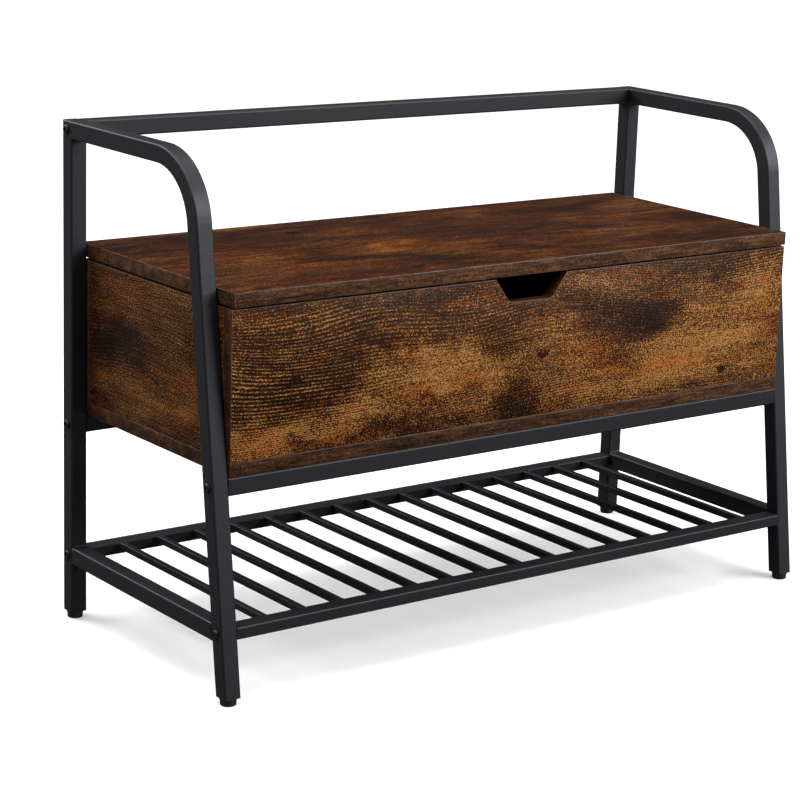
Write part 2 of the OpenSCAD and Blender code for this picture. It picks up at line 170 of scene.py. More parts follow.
def make_studio():
    bpy.context.scene.view_settings.view_transform = "Standard"
    make_world(seen=1.0, cast=0.045)
    make_floor(half_side=30.0)
    overhead_light(power=3.2, spread=70.0)
    area_light("front_box", (1.9, -2.6, 1.85), (2.8, 1.9), 132.0)
    area_light("left_box", (-2.6, -0.9, 1.9), (1.4, 1.0), 16.0)
    area_light("rear_box", (-1.5, 2.2, 2.1), (2.0, 1.4), 66.0)


# ---- Shader nodes ----

class Shader:
    """One material's node tree, with short calls to add nodes and join them."""

    def __init__(self, name):
        self.material = bpy.data.materials.new(name)
        self.material.use_nodes = True
        self.tree = self.material.node_tree
        self.bsdf = self.tree.nodes["Principled BSDF"]

    def set(self, node, inputs):
        """Gives node's inputs, by name or number, a value or another node's output."""
        for key, value in inputs.items():
            if isinstance(value, bpy.types.NodeSocket):
                self.tree.links.new(value, node.inputs[key])
            else:
                node.inputs[key].default_value = value

    def add(self, kind, inputs, **settings):
        node = self.tree.nodes.new("ShaderNode" + kind)
        for key, value in settings.items():
            setattr(node, key, value)
        self.set(node, inputs)
        return node

    def math(self, operation, a, b=0.0, c=0.0, clamp=False):
        node = self.add("Math", {0: a, 1: b, 2: c}, operation=operation, use_clamp=clamp)
        return node.outputs[0]

    def vector(self, operation, a, b=(0.0, 0.0, 0.0)):
        node = self.add("VectorMath", {0: a, 1: b}, operation=operation)
        return node.outputs["Value" if operation == "LENGTH" else "Vector"]

    def step(self, value, low, high, to_low=0.0, to_high=1.0):
        """Smooth rise of value from low to high."""
        inputs = {"Value": value, "From Min": low, "From Max": high, "To Min": to_low, "To Max": to_high}
        return self.add("MapRange", inputs, interpolation_type="SMOOTHSTEP").outputs["Result"]

    def noise(self, place, scale=1.0, detail=2.0, roughness=0.5, distortion=0.0):
        inputs = {"Vector": place, "Scale": scale, "Detail": detail, "Roughness": roughness,
                  "Distortion": distortion}
        return self.add("TexNoise", inputs, noise_dimensions="3D").outputs["Fac"]

    def ramp(self, value, stops):
        node = self.add("ValToRGB", {"Fac": value})
        elements = node.color_ramp.elements
        while len(elements) < len(stops):
            elements.new(0.5)
        for element, (place, colour) in zip(elements, stops):
            element.position = place
            element.color = (*colour, 1.0)
        return node.outputs["Color"]

    def mix(self, share, a, b, blend="MIX"):
        node = self.add("Mix", {"Factor": share}, data_type="RGBA", blend_type=blend)
        self.set(node, {6: a, 7: b})
        return node.outputs[2]

    def place(self):
        """Place on the object, in metres in the row frame."""
        return self.add("TexCoord", {}).outputs["Object"]

    def bump(self, height, strength, distance):
        inputs = {"Height": height, "Strength": strength, "Distance": distance}
        return self.add("Bump", inputs).outputs["Normal"]


# ---- Board material ----

# Value of the print from 0, black stain, to 1, the palest wood
WOOD_COLOURS = [
    (0.06, (0.0040, 0.0022, 0.0014)),
    (0.30, (0.0220, 0.0070, 0.0028)),
    (0.50, (0.0720, 0.0220, 0.0066)),
    (0.68, (0.2050, 0.0740, 0.0125)),
    (0.94, (0.4800, 0.2400, 0.0720)),
]
RED_CAST = (1.0, 0.74, 0.62, 1.0)
WARM_SHINE = (1.0, 0.80, 0.62, 1.0)
PER_MM = 1000.0


class Board(Shader):
    """Shader whose coordinates are millimetres on a board, first along its grain and then across it."""

    def __init__(self, name, along, offset):
        super().__init__(name)
        self.at = self.vector("MULTIPLY", self.place(), (PER_MM, PER_MM, PER_MM))
        parts = self.add("SeparateXYZ", {0: self.at}).outputs
        order = (parts[0], parts[1], parts[2]) if along == 0 else (parts[1], parts[0], parts[2])
        turned = self.add("CombineXYZ", dict(enumerate(order))).outputs[0]
        self.grain = self.vector("ADD", turned, offset)

    def spots(self, length, width, detail=2.0, roughness=0.5, distortion=0.0):
        """Noise whose spots are about length by width mm."""
        squashed = self.vector("MULTIPLY", self.grain, (1 / length, 1 / width, 1 / width))
        return self.noise(squashed, detail=detail, roughness=roughness, distortion=distortion)

    def around(self, value, amount, base):
        """base plus amount times value's distance from its middle."""
        return self.math("MULTIPLY_ADD", self.math("SUBTRACT", value, 0.5), amount, base)

    def ragged_place(self):
        """Place on the board, pushed about so that the edges of stains are ragged."""
        broad = self.add("TexNoise", {"Vector": self.at, "Scale": 0.02, "Detail": 5.0, "Roughness": 0.62})
        push = self.vector("SUBTRACT", broad.outputs["Color"], (0.5, 0.5, 0.5))
        return self.vector("ADD", self.at, self.vector("MULTIPLY", push, (110.0, 110.0, 70.0)))

    def stain_sum(self, stains, base):
        """Adds soft ragged stains to base, each (centre in mm, half sizes in mm, weight)."""
        total = base
        place = self.ragged_place() if stains else None
        for centre, half, weight in stains:
            away = self.vector("SUBTRACT", place, centre)
            away = self.vector("MULTIPLY", away, tuple(1 / h for h in half))
            share = self.step(self.vector("LENGTH", away), 1.40, 0.45)
            total = self.math("MULTIPLY_ADD", share, weight, total)
        return total

    def growth_lines(self, spacing):
        """Thin lines along the grain, spacing mm apart, that wander, fan out and break up."""
        bend = self.around(self.spots(420.0, 150.0, detail=1.0), 60.0, 0.0)
        bent = self.vector("ADD", self.grain, self.add("CombineXYZ", {1: bend, 2: bend}).outputs[0])
        wave = self.add("TexWave", {
            "Vector": self.vector("MULTIPLY", bent, (0.03, 1.0, 1.0)), "Scale": 2 * math.pi / (10 * spacing),
            "Distortion": 2.2, "Detail": 2.0, "Detail Scale": 1.2, "Detail Roughness": 0.5,
        }, wave_type="BANDS", bands_direction="DIAGONAL", wave_profile="SIN").outputs["Fac"]
        return self.around(self.spots(16.0, 1.8, detail=2.0), 0.9, wave)

    def cracks(self):
        """Hairlines along the grain, where a stretched noise crosses one level."""
        away = self.math("SUBTRACT", self.spots(300.0, 32.0, detail=3.0, distortion=0.3), 0.57)
        return self.step(self.math("ABSOLUTE", away), 0.0045, 0.0005)

    def knots(self):
        """A few small dark knots."""
        squashed = self.vector("MULTIPLY", self.grain, (1 / 125.0, 1 / 75.0, 1 / 75.0))
        cells = self.add("TexVoronoi", {"Vector": squashed, "Scale": 1.0, "Randomness": 1.0})
        chosen = self.step(self.add("SeparateColor", {0: cells.outputs["Color"]}).outputs[0], 0.78, 0.80)
        return self.math("MULTIPLY", self.step(cells.outputs["Distance"], 0.11, 0.03), chosen)


def rustic_board(name, along, offset, stains=(), roughness=0.50, patch=1.0, level=0.0, lined=(), mottle=2.3):
    """Printed rustic board with its grain along axis 0 or 1. offset picks another part of the same print."""
    shader = Board(name, along, offset)
    patches = shader.spots(150.0, 46.0, detail=5.0, roughness=0.60, distortion=0.5)
    value = shader.around(patches, patch, 0.47 + level)
    value = shader.stain_sum(stains, value)

    lines = shader.growth_lines(3.0)
    here = shader.around(shader.spots(190.0, 60.0, detail=2.0), 0.40, 0.14)
    value = shader.around(lines, shader.math("MAXIMUM", shader.stain_sum(lined, here), 0.03), value)
    streaks = shader.spots(48.0, 3.4, detail=3.0, roughness=0.6)
    value = shader.around(streaks, 0.50, value)
    speckle = shader.spots(1.9, 1.2, detail=1.0, roughness=0.7)
    value = shader.around(speckle, mottle, value)
    crack = shader.cracks()
    value = shader.math("MULTIPLY_ADD", crack, -0.22, value)
    value = shader.math("MULTIPLY_ADD", shader.knots(), -0.5, value)

    colour = shader.ramp(value, WOOD_COLOURS)
    reddish = shader.step(shader.spots(90.0, 34.0, detail=3.0, roughness=0.6), 0.46, 0.66)
    colour = shader.mix(reddish, colour, shader.mix(1.0, colour, RED_CAST, "MULTIPLY"))

    shine = shader.spots(90.0, 22.0, detail=4.0, roughness=0.6)
    relief = shader.around(lines, 0.6, shader.math("MULTIPLY", speckle, 0.5))
    relief = shader.math("MULTIPLY_ADD", crack, -0.8, relief)
    shader.set(shader.bsdf, {
        "Base Color": colour, "Roughness": shader.around(shine, 0.3, roughness),
        "Specular IOR Level": 0.15, "Specular Tint": WARM_SHINE,
        "Normal": shader.bump(relief, 0.25, 0.0004),
    })
    return shader.material


def edge_band(name, along, offset, level=0.41):
    """Darker, more even band glued round a board's narrow faces."""
    shader = Board(name, along, offset)
    value = shader.around(shader.spots(90.0, 14.0, detail=4.0, roughness=0.6), 0.80, level)
    value = shader.around(shader.spots(22.0, 2.4, detail=3.0, roughness=0.6), 0.80, value)
    flecks = shader.spots(2.0, 1.2, detail=1.0, roughness=0.6)
    value = shader.around(flecks, 0.8, value)
    colour = shader.ramp(value, [
        (0.12, (0.008, 0.004, 0.002)), (0.40, (0.060, 0.0245, 0.0115)), (0.70, (0.180, 0.082, 0.036)),
    ])
    shader.set(shader.bsdf, {
        "Base Color": colour, "Roughness": shader.around(flecks, 0.2, 0.5),
        "Specular IOR Level": 0.15, "Specular Tint": WARM_SHINE, "Normal": shader.bump(flecks, 0.15, 0.0003),
    })
    return shader.material


def painted_edge_highlight(name):
    """Painted highlight: a paler colour on the eased corners of a board, standing in for the light they catch."""
    shader = Shader(name)
    wear_and_sheen = shader.noise(shader.place(), scale=55.0, detail=4.0, roughness=0.65)
    colour = shader.ramp(wear_and_sheen, [
        (0.35, (0.034, 0.015, 0.008)), (0.50, (0.078, 0.039, 0.021)), (0.66, (0.16, 0.09, 0.052)),
    ])
    shader.set(shader.bsdf, {"Base Color": colour, "Roughness": shader.step(wear_and_sheen, 0.3, 0.7, 0.40, 0.6)})
    return shader.material


# ---- Metal, plastic and other materials ----

def powder_coat():
    """Charcoal powder coat: a fine orange-peel surface, a little polished, its gloss uneven where hands rub."""
    shader = Shader("powder_coat")
    place = shader.place()
    grit = shader.noise(place, scale=1500.0, detail=2.0, roughness=0.6)
    peel = shader.noise(place, scale=420.0, detail=2.0)
    cloud = shader.noise(place, scale=7.0, detail=3.0)
    rub = shader.noise(place, scale=60.0, detail=4.0, roughness=0.7)
    tone = shader.math("MULTIPLY_ADD", grit, 0.5, shader.math("MULTIPLY", cloud, 0.5))
    colour = shader.ramp(tone, [(0.30, (0.0048, 0.0046, 0.0056)), (0.70, (0.0105, 0.0102, 0.0122))])
    gloss = shader.math("MULTIPLY_ADD", rub, 0.16, shader.math("MULTIPLY_ADD", grit, 0.12, 0.34))
    relief = shader.math("MULTIPLY_ADD", peel, 0.7, shader.math("MULTIPLY", grit, 0.3))
    shader.set(shader.bsdf, {
        "Base Color": colour, "Roughness": gloss, "Specular IOR Level": 0.5,
        "Specular Tint": (0.86, 0.89, 1.0, 1.0), "Normal": shader.bump(relief, 0.4, 0.0003),
    })
    return shader.material


def black_oxide():
    shader = Shader("black_oxide")
    place = shader.place()
    wear_and_sheen = shader.noise(place, scale=260.0, detail=4.0, roughness=0.7)
    colour = shader.ramp(wear_and_sheen, [(0.35, (0.012, 0.012, 0.014)), (0.72, (0.045, 0.045, 0.050))])
    shader.set(shader.bsdf, {
        "Base Color": colour, "Metallic": 0.6, "Roughness": shader.step(wear_and_sheen, 0.3, 0.7, 0.30, 0.46),
        "Normal": shader.bump(wear_and_sheen, 0.1, 0.0002),
    })
    return shader.material


def zinc_steel():
    shader = Shader("zinc_steel")
    place = shader.place()
    brushed = shader.noise(shader.vector("MULTIPLY", place, (60.0, 900.0, 900.0)), detail=3.0)
    spots = shader.noise(place, scale=140.0, detail=4.0, roughness=0.7)
    colour = shader.ramp(spots, [(0.35, (0.42, 0.43, 0.45)), (0.70, (0.60, 0.60, 0.60))])
    shader.set(shader.bsdf, {
        "Base Color": colour, "Metallic": 1.0,
        "Roughness": shader.math("MULTIPLY_ADD", brushed, 0.25, 0.22),
        "Normal": shader.bump(brushed, 0.12, 0.0002),
    })
    return shader.material


def moulded_plastic():
    shader = Shader("moulded_plastic")
    place = shader.place()
    texture = shader.noise(place, scale=1300.0, detail=2.0)
    scuffs = shader.noise(place, scale=120.0, detail=4.0, roughness=0.7)
    colour = shader.ramp(scuffs, [(0.40, (0.010, 0.010, 0.011)), (0.75, (0.024, 0.024, 0.025))])
    shader.set(shader.bsdf, {
        "Base Color": colour, "Roughness": shader.step(scuffs, 0.3, 0.7, 0.50, 0.66),
        "Normal": shader.bump(texture, 0.25, 0.0002),
    })
    return shader.material


def soft_rubber():
    shader = Shader("soft_rubber")
    dust = shader.noise(shader.place(), scale=500.0, detail=4.0, roughness=0.7)
    colour = shader.ramp(dust, [(0.40, (0.020, 0.020, 0.020)), (0.80, (0.055, 0.053, 0.050))])
    shader.set(shader.bsdf, {
        "Base Color": colour, "Roughness": shader.step(dust, 0.3, 0.7, 0.66, 0.8),
        "Normal": shader.bump(dust, 0.2, 0.0002),
    })
    return shader.material


def bare_beech():
    shader = Shader("bare_beech")
    place = shader.vector("MULTIPLY", shader.place(), (900.0, 60.0, 900.0))
    grain = shader.noise(place, detail=4.0, roughness=0.6)
    colour = shader.ramp(grain, [(0.30, (0.42, 0.26, 0.13)), (0.70, (0.60, 0.42, 0.24))])
    shader.set(shader.bsdf, {
        "Base Color": colour, "Roughness": shader.step(grain, 0.3, 0.7, 0.55, 0.7),
        "Normal": shader.bump(grain, 0.2, 0.0003),
    })
    return shader.material


# ---- Mesh helpers ----

def new_object(name, bm, smooth_angle=None):
    """Object from a bmesh, with faces turned outwards and smooth below smooth_angle degrees."""
    bmesh.ops.recalc_face_normals(bm, faces=bm.faces)
    mesh = bpy.data.meshes.new(name)
    bm.to_mesh(mesh)
    bm.free()
    if smooth_angle is not None:
        mesh.shade_smooth()
        mesh.set_sharp_from_angle(angle=math.radians(smooth_angle))
    made = bpy.data.objects.new(name, mesh)
    bpy.context.scene.collection.objects.link(made)
    return made


def stand_in(piece, node, materials):
    """Puts piece in the place of a CAD node, on the same body, with the given materials."""
    for material in materials:
        piece.data.materials.append(material)
    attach(piece, NODES[node]["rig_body"])
    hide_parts(node)
    return piece


# ---- Turned pieces ----

SEGMENTS = 48


def circle(angle):
    return 1.0


def hexagon(angle):
    """Radius of a hexagon of corner radius 1."""
    return math.cos(math.pi / 6) / math.cos(angle % (math.pi / 3) - math.pi / 6)


def cross(angle):
    """Radius of a cross of reach 1, whose arms are 0.44 wide."""
    turn = abs((angle + math.pi / 4) % (math.pi / 2) - math.pi / 4)
    return min(1.0 / math.cos(turn), 0.22 / max(math.sin(turn), 0.01))


def turn_on(bm, axis, base, rings):
    """Adds a closed turned solid: rings are (shape, radius, height), along axis from base."""
    frame_turn = Vector((0, 0, 1)).rotation_difference(axis).to_matrix()
    loops = []
    for shape, radius, height in rings:
        loop = []
        for i in range(SEGMENTS):
            angle = 2 * math.pi * i / SEGMENTS
            reach = radius * shape(angle)
            spot = Vector((reach * math.cos(angle), reach * math.sin(angle), height))
            loop.append(bm.verts.new(base + frame_turn @ spot))
        loops.append(loop)
    for low, high in zip(loops, loops[1:]):
        for i in range(SEGMENTS):
            j = (i + 1) % SEGMENTS
            bm.faces.new((low[i], low[j], high[j], high[i]))
    bm.faces.new(loops[0])
    bm.faces.new(loops[-1])


def dome(radius, low, high, steps=6):
    """Rings of a shallow crown that shrinks from radius at low to its edge at high."""
    rings = []
    for i in range(steps + 1):
        turn = math.pi / 2 * i / steps
        rings.append((radius - (high - low) * (1 - math.cos(turn)), low + (high - low) * math.sin(turn)))
    return [(circle, reach, height) for reach, height in rings]


def solids(node):
    """Box of each separate solid in a CAD node, as (lowest corner, highest corner)."""
    bm = bmesh.new()
    bm.from_mesh(NODES[node].data)
    bmesh.ops.remove_doubles(bm, verts=bm.verts, dist=1e-6)
    left, boxes = set(bm.verts), []
    while left:
        wave, solid = [left.pop()], []
        while wave:
            vert = wave.pop()
            solid.append(vert.co.copy())
            for edge in vert.link_edges:
                other = edge.other_vert(vert)
                if other in left:
                    left.remove(other)
                    wave.append(other)
        boxes.append(tuple(Vector(pick(co[a] for co in solid) for a in range(3)) for pick in (min, max)))
    bm.free()
    return boxes


# ---- Boards ----

EASED = 0.0006
NOTCH_TOP = 0.098
NOTCH_FLOOR = 0.058
NOTCH_DEEP = 0.027
NOTCH_RADIUS = 0.010
ARC_STEPS = 10


def arc(centre, radius, start, stop):
    """Points on an arc from start to stop, in degrees."""
    turns = [math.radians(start + (stop - start) * i / ARC_STEPS) for i in range(ARC_STEPS + 1)]
    return [(centre[0] + radius * math.cos(t), centre[1] + radius * math.sin(t)) for t in turns]


def rectangle(lo, hi):
    return [(lo[0], lo[1]), (hi[0], lo[1]), (hi[0], hi[1]), (lo[0], hi[1])]


def notched(lo, hi):
    """Rectangle with the finger notch in the middle of its top edge."""
    lean = math.atan2((NOTCH_TOP - NOTCH_FLOOR) / 2, NOTCH_DEEP)
    turn = 90 - math.degrees(lean)
    reach = NOTCH_RADIUS * math.tan(math.radians(turn) / 2)
    middle, floor = (lo[0] + hi[0]) / 2, hi[1] - NOTCH_DEEP
    inner = NOTCH_FLOOR / 2 - reach
    right = arc((middle + inner, floor + NOTCH_RADIUS), NOTCH_RADIUS, -90 + turn, -90)
    left = arc((middle - inner, floor + NOTCH_RADIUS), NOTCH_RADIUS, -90, -90 - turn)
    top = [(middle + NOTCH_TOP / 2, hi[1])], [(middle - NOTCH_TOP / 2, hi[1])]
    return [lo, (hi[0], lo[1]), hi] + top[0] + right + left + top[1] + [(lo[0], hi[1])]


def carve(piece, cutter_mesh):
    """Cuts the closed solids of cutter_mesh out of piece, leaving band material on the cut faces."""
    for face in cutter_mesh.faces:
        face.material_index = 2
    cutter = new_object("cutter", cutter_mesh)
    for material in piece.data.materials:
        cutter.data.materials.append(material)
    cut = piece.modifiers.new("cut", "BOOLEAN")
    cut.operation, cut.solver, cut.object = "DIFFERENCE", "EXACT", cutter
    carved = bpy.data.meshes.new_from_object(piece.evaluated_get(bpy.context.evaluated_depsgraph_get()))
    piece.modifiers.clear()
    piece.data = carved
    bpy.data.objects.remove(cutter)


def board(node, thin, outline, materials, cuts=None, eased=EASED):
    """Flat board in node's box: outline across its two wide axes, eased edges, bands on its narrow faces."""
    lo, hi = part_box(node)
    wide = [axis for axis in range(3) if axis != thin]
    points = outline(tuple(lo[a] for a in wide), tuple(hi[a] for a in wide))
    bm = bmesh.new()
    rings = []
    for level in (lo[thin], hi[thin]):
        ring = []
        for point in points:
            place = Vector((0.0, 0.0, 0.0))
            place[wide[0]], place[wide[1]], place[thin] = point[0], point[1], level
            ring.append(bm.verts.new(place))
        rings.append(ring)
    for ring in rings:
        bm.faces.new(ring)
    for i in range(len(points)):
        j = (i + 1) % len(points)
        side = bm.faces.new((rings[0][i], rings[0][j], rings[1][j], rings[1][i]))
        side.material_index = 2
    bmesh.ops.recalc_face_normals(bm, faces=bm.faces)
    sharp = [e for e in bm.edges if e.calc_face_angle() > math.radians(30)]
    # The eased corners take slot 1, the painted edge highlight.
    bmesh.ops.bevel(bm, geom=sharp, offset=eased, segments=2, profile=0.5, affect="EDGES", material=1,
                    clamp_overlap=True)
    piece = stand_in(new_object(node + "_board", bm, 30), node, materials)
    if cuts:
        cutter_mesh = bmesh.new()
        cuts(cutter_mesh)
        carve(piece, cutter_mesh)


CUT_PLAY = 0.0001
CUT_PAST = 0.001
CAM_HOLE_DEEP = 0.0125
REBATE_DEEP = 0.0018
REBATE_PLAY = 0.001
KNUCKLE_ROOM = 0.0057


def cam_holes(bm, side):
    """Blind holes in a side wall's inner face, one round each cam."""
    out = -1.0 if side == "left" else 1.0
    for lo, hi in solids("cam_locks"):
        middle, radius = (lo + hi) / 2, (hi.z - lo.z) / 2
        if middle.x * out > 0:
            face = hi.x if out < 0 else lo.x
            start = Vector((face - out * CUT_PAST, middle.y, middle.z))
            reach = radius + CUT_PLAY
            turn_on(bm, Vector((out, 0.0, 0.0)), start,
                    [(circle, reach, 0.0), (circle, reach, CUT_PAST + CAM_HOLE_DEEP)])


def base_screw_holes(bm):
    """Countersunk holes in the base's underside."""
    for lo, hi in solids("base_screws"):
        middle, head = (lo + hi) / 2, (hi.x - lo.x) / 2 + CUT_PLAY
        turn_on(bm, Vector((0.0, 0.0, 1.0)), Vector((middle.x, middle.y, lo.z)), [
            (circle, head, -CUT_PAST), (circle, head, 0.0), (circle, SCREW_SHANK_R + CUT_PLAY, BOX_SCREW_HEAD_H),
            (circle, SCREW_SHANK_R + CUT_PLAY, BOX_SCREW_HEAD_H + CUT_PAST),
        ])


def hinge_rebates(bm):
    """Shallow rebates in the lid's underside, open at its rear edge, that clear the hinge knuckles."""
    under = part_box("lid_panel")[0].z
    for side in SIDES:
        pin_lo, pin_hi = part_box(side + "_hinge_pin")
        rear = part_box(side + "_hinge_lid_leaf")[1].y
        lo = Vector((pin_lo.x - REBATE_PLAY, rear - KNUCKLE_ROOM, under - CUT_PAST))
        hi = Vector((pin_hi.x + REBATE_PLAY, rear + CUT_PAST, under + REBATE_DEEP))
        size = hi - lo
        place = Matrix.Translation((lo + hi) / 2) @ Matrix.Diagonal((*size, 1.0))
        bmesh.ops.create_cube(bm, size=1.0, matrix=place)


FRONT_STAINS = [
    ((-345, 0, 262), (70, 400, 16), 0.24), ((-230, 0, 272), (90, 400, 16), 0.22),
    ((-120, 0, 316), (100, 400, 26), 0.24), ((-70, 0, 282), (74, 400, 30), 0.16),
    ((60, 0, 325), (90, 400, 44), 0.12), ((280, 0, 300), (130, 400, 50), 0.20),
    ((165, 0, 266), (130, 400, 24), 0.17), ((90, 0, 390), (60, 400, 8), 0.16),
    ((345, 0, 366), (40, 400, 18), 0.17), ((-310, 0, 350), (140, 400, 40), -0.10),
    ((-285, 0, 306), (70, 400, 9), -0.20), ((-205, 0, 346), (60, 400, 9), -0.18),
    ((-290, 0, 262), (24, 400, 7), -0.28), ((-40, 0, 336), (46, 400, 20), -0.15),
    ((-22, 0, 266), (26, 400, 30), -0.30), ((-150, 0, 256), (60, 400, 12), -0.26),
    ((150, 0, 344), (76, 400, 26), -0.22), ((297, 0, 268), (11, 400, 6), -0.60),
    ((24, 0, 313), (11, 400, 6), -0.50), ((-123, 0, 288), (12, 400, 7), -0.26),
    ((240, 0, 396), (150, 400, 12), -0.14), ((-170, 0, 396), (220, 400, 12), -0.13),
    ((250, 0, 380), (120, 400, 3), -0.22), ((-60, 0, 375), (170, 400, 26), -0.09),
    ((140, 0, 360), (90, 400, 20), -0.08), ((-330, 0, 325), (50, 400, 60), -0.06),
]
FRONT_LINES = [
    ((-310, 0, 340), (150, 400, 60), 0.34), ((-330, 0, 300), (110, 400, 60), 0.20),
    ((-150, 0, 375), (160, 400, 30), 0.18), ((330, 0, 385), (120, 400, 16), 0.25),
    ((-20, 0, 345), (60, 400, 30), 0.16), ((60, 0, 270), (60, 400, 16), 0.20),
]
SIDE_LINES = [((0, -60, 300), (400, 70, 40), 0.30)]
LID_STAINS = [
    ((-335, -128, 0), (58, 14, 400), 0.34), ((-235, -60, 0), (50, 30, 400), 0.16),
    ((-120, -20, 0), (90, 34, 400), 0.22), ((-40, -60, 0), (70, 30, 400), 0.14),
    ((180, 20, 0), (120, 60, 400), 0.10), ((60, -110, 0), (110, 18, 400), -0.18),
    ((330, -60, 0), (80, 80, 400), -0.12), ((-200, 90, 0), (150, 50, 400), -0.10),
]
SIDE_STAINS = [
    ((0, 90, 325), (400, 78, 42), -0.85), ((0, -70, 290), (400, 66, 34), 0.46),
    ((0, 0, 262), (400, 70, 14), 0.20), ((0, 100, 266), (400, 50, 22), -0.24),
    ((0, 60, 382), (400, 100, 14), 0.10),
]


def make_boards():
    # edge holds the painted highlight given to every board's eased corners.
    edge = painted_edge_highlight("board_painted_edge_highlight")
    bands = [edge_band("edge_band_x", 0, (310.0, 70.0, 190.0)), edge_band("edge_band_y", 1, (530.0, 220.0, 40.0))]
    base_band = edge_band("edge_band_base", 0, (150.0, 370.0, 60.0), level=0.325)
    front = rustic_board("board_front", 0, (40.0, 0.0, 0.0), FRONT_STAINS, patch=0.85, level=-0.02,
                          lined=FRONT_LINES)
    back = rustic_board("board_back", 0, (770.0, 310.0, 240.0))
    base = rustic_board("board_base", 0, (190.0, 620.0, 480.0), level=-0.05)
    lid = rustic_board("board_lid", 0, (1130.0, 440.0, 810.0), LID_STAINS, roughness=0.34, patch=0.9,
                        level=-0.08, mottle=0.9)
    left = rustic_board("board_left", 1, (260.0, 950.0, 660.0), SIDE_STAINS, patch=0.7, level=-0.03,
                         lined=SIDE_LINES)
    right = rustic_board("board_right", 1, (880.0, 130.0, 590.0), level=-0.02)
    board("front_panel", 1, notched, [front, edge, bands[0]])
    board("back_panel", 1, rectangle, [back, edge, bands[0]])
    board("base_board", 2, rectangle, [base, edge, base_band], base_screw_holes)
    board("lid_panel", 2, rectangle, [lid, edge, bands[0]], hinge_rebates)
    for side, face in (("left", left), ("right", right)):
        board(side + "_panel", 0, rectangle, [face, edge, bands[1]], lambda bm, s=side: cam_holes(bm, s))


# ---- Fasteners ----

BOLT_HEAD_H = 0.0026
BOLT_SHANK_R = 0.003
BOLT_SOCKET_R = 0.0023
BOLT_SOCKET_DEEP = 0.0015
BOX_SCREW_HEAD_H = 0.0022
SCREW_SHANK_R = 0.002
LEAF_SCREW_SHANK_R = 0.0015
RECESS_SHARE = 0.55
RECESS_DEEP = 0.0009
SCREW_POINT = 0.003


def frame_bolts(side, metal):
    """Button-head bolts with a hexagon socket, heads against the outer faces of the side frame."""
    node = side + "_frame_bolts"
    out = -1.0 if side == "left" else 1.0
    bm = bmesh.new()
    for lo, hi in solids(node):
        middle, head_r = (lo + hi) / 2, (hi.z - lo.z) / 2
        top = hi.x if out > 0 else lo.x
        length = hi.x - lo.x
        foot = Vector((top - out * length, middle.y, middle.z))
        under, face = length - BOLT_HEAD_H, length
        crown = dome(head_r, under + 0.0006, face)
        rings = [(circle, BOLT_SHANK_R - 0.0006, 0.0), (circle, BOLT_SHANK_R, 0.0008),
                 (circle, BOLT_SHANK_R, under), (circle, head_r - 0.0003, under), (circle, head_r, under + 0.0003)]
        rings += crown
        rings += [(hexagon, BOLT_SOCKET_R * 1.08, face - 0.00002), (hexagon, BOLT_SOCKET_R, face - 0.00015),
                  (hexagon, BOLT_SOCKET_R, face - BOLT_SOCKET_DEEP)]
        turn_on(bm, Vector((out, 0.0, 0.0)), foot, rings)
    stand_in(new_object(node + "_turned", bm, 35), node, [metal])


def wood_screws(node, head_down, shank_r, head_h, countersunk, metal):
    """Upright wood screws with cross recesses, heads at the bottom or the top of each solid."""
    bm = bmesh.new()
    for lo, hi in solids(node):
        middle = (lo + hi) / 2
        head_r, length = (hi.x - lo.x) / 2, hi.z - lo.z
        start = Vector((middle.x, middle.y, hi.z if head_down else lo.z))
        axis = Vector((0.0, 0.0, -1.0 if head_down else 1.0))
        neck = length - head_h
        rings = [(circle, 0.0002, 0.0), (circle, shank_r, SCREW_POINT), (circle, shank_r, neck)]
        if countersunk:
            rings += [(circle, head_r, length - 0.0001), (circle, head_r - 0.0001, length)]
        else:
            rings += [(circle, head_r, neck), (circle, head_r, neck + 0.0005)]
            rings += dome(head_r, neck + 0.0005, length)
        reach = RECESS_SHARE * head_r
        rings += [(cross, reach, length - 0.00005), (cross, reach * 0.8, length - RECESS_DEEP)]
        turn_on(bm, axis, start, rings)
    stand_in(new_object(node + "_turned", bm, 35), node, [metal])


def cam_locks(metal):
    """Cam discs in the side panels: a rimmed face with a cross slot towards the inside of the box."""
    bm = bmesh.new()
    for lo, hi in solids("cam_locks"):
        middle, radius = (lo + hi) / 2, (hi.z - lo.z) / 2
        inward = -1.0 if middle.x > 0 else 1.0
        base = Vector((hi.x if inward < 0 else lo.x, middle.y, middle.z))
        length = hi.x - lo.x
        turn_on(bm, Vector((inward, 0.0, 0.0)), base, [
            (circle, radius, 0.0), (circle, radius, length - 0.0003), (circle, radius - 0.0003, length),
            (circle, radius - 0.0012, length), (circle, radius - 0.0014, length - 0.0005),
            (cross, radius * 0.62, length - 0.0005), (cross, radius * 0.55, length - 0.0028),
        ])
    stand_in(new_object("cam_locks_turned", bm, 35), "cam_locks", [metal])


def bumpers(rubber):
    """Soft round pads with crowned tops."""
    bm = bmesh.new()
    for lo, hi in solids("lid_bumpers"):
        middle, radius = (lo + hi) / 2, (hi.x - lo.x) / 2
        height = hi.z - lo.z
        rings = [(circle, radius - 0.0002, 0.0), (circle, radius, 0.0003)]
        rings += dome(radius, height * 0.35, height)
        turn_on(bm, Vector((0.0, 0.0, 1.0)), Vector((middle.x, middle.y, lo.z)), rings)
    stand_in(new_object("lid_bumpers_crowned", bm, 35), "lid_bumpers", [rubber])


# ---- Feet ----

FOOT_H = 0.008
FLANGE_H = 0.0015
FOOT_TAPER = 0.0004
TREAD_IN = 0.0009
STEM_R = 0.0082
STEM_CUT = 0.0013
LEG_LEAN = 7.8


